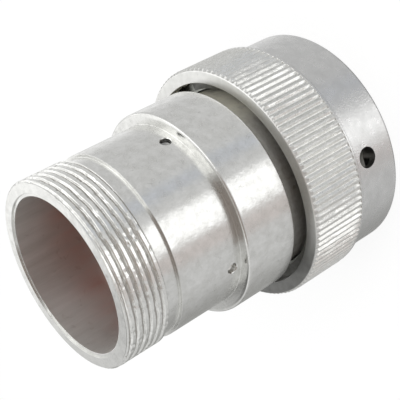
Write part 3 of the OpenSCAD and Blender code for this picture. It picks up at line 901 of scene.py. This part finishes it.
def makeWaveSpring(sizes):
    swing = (sizes["height"] - sizes["strip"]) / 2
    edge, low, high = sizes["edge"], 0, sizes["strip"]
    inner, outer = sizes["inner"], sizes["outer"]
    section = [(inner + edge, low), (outer - edge, low), (outer, low + edge), (outer, high - edge),
               (outer - edge, high), (inner + edge, high), (inner, high - edge), (inner, low + edge)]
    count, points, faces = len(section), [], []
    for step in range(sizes["steps"]):
        angle = 2 * math.pi * step / sizes["steps"]
        lift = sizes["seatZ"] + swing * (1 - math.cos(sizes["waves"] * angle))
        points += [(r * math.cos(angle), r * math.sin(angle), lift + z) for r, z in section]
        here, after = step * count, (step + 1) % sizes["steps"] * count
        faces += [(here + k, here + (k + 1) % count, after + (k + 1) % count, after + k) for k in range(count)]
    piece = closedMesh("waveSpring", points, faces)
    piece.data.materials.append(slotFinishes["spring_steel"])
    settle(piece, "shell", "wave_spring", sizes["sharp"])
    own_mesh(piece)
    return piece


spring = makeWaveSpring(springSizes)
print("wave spring made,", len(spring.data.polygons), "faces")


# the other solids keep their own shape and take the finish of their slot
nodeSlots = {
    "snap_ring": "spring_steel", "thrust_washer": "spring_steel", "insert_lock_ring": "spring_steel",
    "plug_barrel": "shell_aluminium", "grommet_ferrule": "shell_aluminium",
    "shell_seal": "black_seal", "adapter_seal": "black_seal",
    "interface_seal": "red_silicone", "rear_grommet": "red_silicone",
    "front_insert": "dielectric", "rear_insert": "dielectric", "retention_disc": "disc_plastic",
}
ownFinishes = {"plug_barrel": dullMetal, "snap_ring": shadeSteel}
for name, node in nodes.items():
    if node.hide_render:
        continue
    slotName = "gold_plate" if name.startswith("socket_contact") else nodeSlots[name]
    node.data.materials.clear()
    node.data.materials.append(ownFinishes.get(name, slotFinishes[slotName]))
print("solids finished")


# studio: pale floor, even white surround, a soft box, and cards that only the metal reflects
studio = {
    "floorSize": 6.0,  # m
    "floorPaint": "#F2F2F0",
    "floorGlow": 0.80,  # what the camera sees: white that keeps the shadow
    "floorShade": 0.24,
    "worldGlow": 0.74,
    "softBox": {"place": (0.45, 0.30, 0.70), "size": (0.5, 0.5), "watts": 2.0},
    "middle": (0, 0, 0.035),  # the lamp and the cards face this point
    "cardReach": 1.5,
    "cardGap": 0.02,  # each card lies this far outside the one before
}
# azimuth and elevation in degrees as seen from the part; soft is the share of each span that fades at an edge
cards = {
    "highlightPanel": {"azimuth": (-20, 24), "elevation": (-60, -3), "soft": (0.22, 0.1),
                       "colour": "#FFFFFF", "glow": 1.6},
    "warmPanel": {"azimuth": (-44, -14), "elevation": (-60, -5), "soft": (0.35, 0.1),
                  "colour": "#F3EAE7", "glow": 0.82},
    "shadowSide": {"azimuth": (-200, -66), "elevation": (-80, 4), "soft": (0.45, 0.1),
                   "colour": "#A8A8A6", "glow": 1.0},
    "frontFlag": {"azimuth": (-51, 29), "elevation": (12, 47), "soft": (0.03, 0.1),
                  "colour": "#A2968F", "glow": 1.0},
    "overheadFlag": {"azimuth": (-75, 45), "elevation": (47, 78), "soft": (0.06, 0.1),
                     "colour": "#A99E96", "glow": 1.0},
    "sideBox": {"azimuth": (36, 124), "elevation": (16, 50), "soft": (0.05, 0.1),
                "colour": "#FFFFFF", "glow": 2.0},
    "leftBox": {"azimuth": (-120, -57), "elevation": (20, 40), "soft": (0.08, 0.2),
                "colour": "#FFFFFF", "glow": 1.0},
    "blueWindow": {"azimuth": (36, 56), "elevation": (-60, -8), "soft": (0.3, 0.1),
                   "colour": "#E6EAF2", "glow": 0.82},
    "rimBox": {"azimuth": (165, 201), "elevation": (8, 33), "soft": (0.2, 0.1),
               "colour": "#FFFFFF", "glow": 1.25},
    "backFlag": {"azimuth": (195, 245), "elevation": (28, 56), "soft": (0.12, 0.1),
                 "colour": "#6A6A68", "glow": 1.0},
    "topBox": {"azimuth": (90, 300), "elevation": (47, 89), "soft": (0.1, 0.06),
               "colour": "#FFFFFF", "glow": 1.15},
    "backGlow": {"azimuth": (140, 205), "elevation": (-60, 4), "soft": (0.35, 0.1),
                 "colour": "#FFFFFF", "glow": 1.0},
    "lowSideBox": {"azimuth": (112, 165), "elevation": (5, 24), "soft": (0.1, 0.15),
                   "colour": "#FFFFFF", "glow": 1.6},
    "backBox": {"azimuth": (110, 190), "elevation": (25, 62), "soft": (0.1, 0.1),
                "colour": "#FFFFFF", "glow": 1.3},
    "floorShadow": {"azimuth": (-180, 180), "elevation": (-89.9, -52), "soft": (0.001, 0.25),
                    "colour": "#8A8A88", "glow": 1.0},
    "surround": {"azimuth": (-180, 180), "elevation": (-89.9, 89.9), "soft": (0.0005, 0.0005),
                 "colour": "#FFFFFF", "glow": 0.74},
}


def flatSheet(name, width, depth):
    w, d = width / 2, depth / 2
    mesh = bpy.data.meshes.new(name)
    mesh.from_pydata([(-w, -d, 0), (w, -d, 0), (w, d, 0), (-w, d, 0)], [], [(0, 1, 2, 3)])
    sheet = bpy.data.objects.new(name, mesh)
    bpy.context.scene.collection.objects.link(sheet)
    return sheet


def paleFloor(setup):
    floor = flatSheet("paleFloor", setup["floorSize"], setup["floorSize"])
    material, tree = newMaterial("mattWhiteFloor")
    paint = addNode(tree, "ShaderNodeBsdfDiffuse", values={"Color": srgb(setup["floorPaint"])})
    shade = setup["floorShade"]
    shadowed = addNode(tree, "ShaderNodeBsdfDiffuse", values={"Color": (shade, shade, shade, 1)})
    glow = addNode(tree, "ShaderNodeEmission", values={"Strength": setup["floorGlow"]})
    white = addNode(tree, "ShaderNodeAddShader", links={0: shadowed.outputs[0], 1: glow.outputs[0]})
    path = addNode(tree, "ShaderNodeLightPath").outputs
    seen = addNode(tree, "ShaderNodeMath", {"operation": "MAXIMUM"},
                   links={0: path["Is Camera Ray"], 1: path["Is Transmission Ray"]})
    mixed = addNode(tree, "ShaderNodeMixShader", links={0: seen.outputs[0], 1: paint.outputs[0], 2: white.outputs[0]})
    addNode(tree, "ShaderNodeOutputMaterial", links={"Surface": mixed.outputs[0]})
    floor.data.materials.append(material)
    floor.visible_glossy = False  # the metal mirrors the even surround and the cards instead


def aimAt(holder, place, target):
    holder.location = place
    holder.rotation_euler = (Vector(target) - Vector(place)).to_track_quat("-Z", "Y").to_euler()


def reflectedCard(name, setup, reach, centre, steps=16):
    (azFrom, azTo), (elFrom, elTo) = setup["azimuth"], setup["elevation"]
    points, places = [], []
    for row in range(steps + 1):
        for column in range(steps + 1):
            az = math.radians(azFrom + (azTo - azFrom) * column / steps)
            el = math.radians(elFrom + (elTo - elFrom) * row / steps)
            away = Vector((math.cos(el) * math.cos(az), math.cos(el) * math.sin(az), math.sin(el)))
            points.append(Vector(centre) + away * reach)
            places.append((column / steps, row / steps))
    across = steps + 1
    faces = [(r * across + c, r * across + c + 1, (r + 1) * across + c + 1, (r + 1) * across + c)
             for r in range(steps) for c in range(steps)]
    mesh = bpy.data.meshes.new(name)
    mesh.from_pydata(points, [], faces)
    spread = mesh.uv_layers.new(name="spread")
    for loop in mesh.loops:
        spread.data[loop.index].uv = places[loop.vertex_index]
    card = bpy.data.objects.new(name, mesh)
    bpy.context.scene.collection.objects.link(card)
    material, tree = newMaterial(name)
    glow = addNode(tree, "ShaderNodeEmission", values={"Color": srgb(setup["colour"]), "Strength": setup["glow"]})
    clear = addNode(tree, "ShaderNodeBsdfTransparent")
    place = addNode(tree, "ShaderNodeSeparateXYZ", links={0: addNode(tree, "ShaderNodeTexCoord").outputs["UV"]})
    fades = []
    for axis, soft in enumerate(setup["soft"]):
        inwards = addNode(tree, "ShaderNodeMath", {"operation": "PINGPONG"}, {1: 0.5}, {0: place.outputs[axis]})
        fades.append(addNode(tree, "ShaderNodeMapRange", {"interpolation_type": "SMOOTHSTEP"},
                             {1: 0.0, 2: soft}, {0: inwards.outputs[0]}))
    solid = addNode(tree, "ShaderNodeMath", {"operation": "MULTIPLY"},
                    links={0: fades[0].outputs[0], 1: fades[1].outputs[0]})
    mixed = addNode(tree, "ShaderNodeMixShader", links={0: solid.outputs[0], 1: clear.outputs[0], 2: glow.outputs[0]})
    addNode(tree, "ShaderNodeOutputMaterial", links={"Surface": mixed.outputs[0]})
    material.cycles.emission_sampling = "NONE"
    mesh.materials.append(material)
    card.visible_camera = card.visible_diffuse = card.visible_shadow = False
    card.visible_transmission = card.visible_volume_scatter = False


def softBox(name, setup, target):
    lamp = bpy.data.lights.new(name, "AREA")
    lamp.shape = "RECTANGLE"
    lamp.size, lamp.size_y = setup["size"]
    lamp.energy = setup["watts"]
    holder = bpy.data.objects.new(name, lamp)
    aimAt(holder, setup["place"], target)
    holder.visible_camera = holder.visible_glossy = False
    bpy.context.scene.collection.objects.link(holder)


def evenWorld(setup):
    world = bpy.data.worlds.new("evenWorld")
    world.use_nodes = True
    world.cycles.sampling_method = "NONE"
    bpy.context.scene.world = world
    tree = world.node_tree
    tree.nodes.clear()
    path = addNode(tree, "ShaderNodeLightPath").outputs
    mirrored = addNode(tree, "ShaderNodeMath", {"operation": "MAXIMUM"},
                       links={0: path["Is Glossy Ray"], 1: path["Is Transmission Ray"]})
    seen = addNode(tree, "ShaderNodeMath", {"operation": "MAXIMUM"},
                   links={0: mirrored.outputs[0], 1: path["Is Camera Ray"]})
    level = addNode(tree, "ShaderNodeMapRange", values={3: setup["worldGlow"], 4: 1.0}, links={0: seen.outputs[0]})
    background = addNode(tree, "ShaderNodeBackground", values={"Color": (1, 1, 1, 1)},
                         links={"Strength": level.outputs[0]})
    addNode(tree, "ShaderNodeOutputWorld", links={"Surface": background.outputs[0]})


paleFloor(studio)
evenWorld(studio)
softBox("softBox", studio["softBox"], studio["middle"])
for cardIndex, (cardName, card) in enumerate(cards.items()):
    reflectedCard(cardName, card, studio["cardReach"] + studio["cardGap"] * cardIndex, studio["middle"])
bpy.context.scene.view_settings.view_transform = "Standard"
print("floor, lamp and cards set")
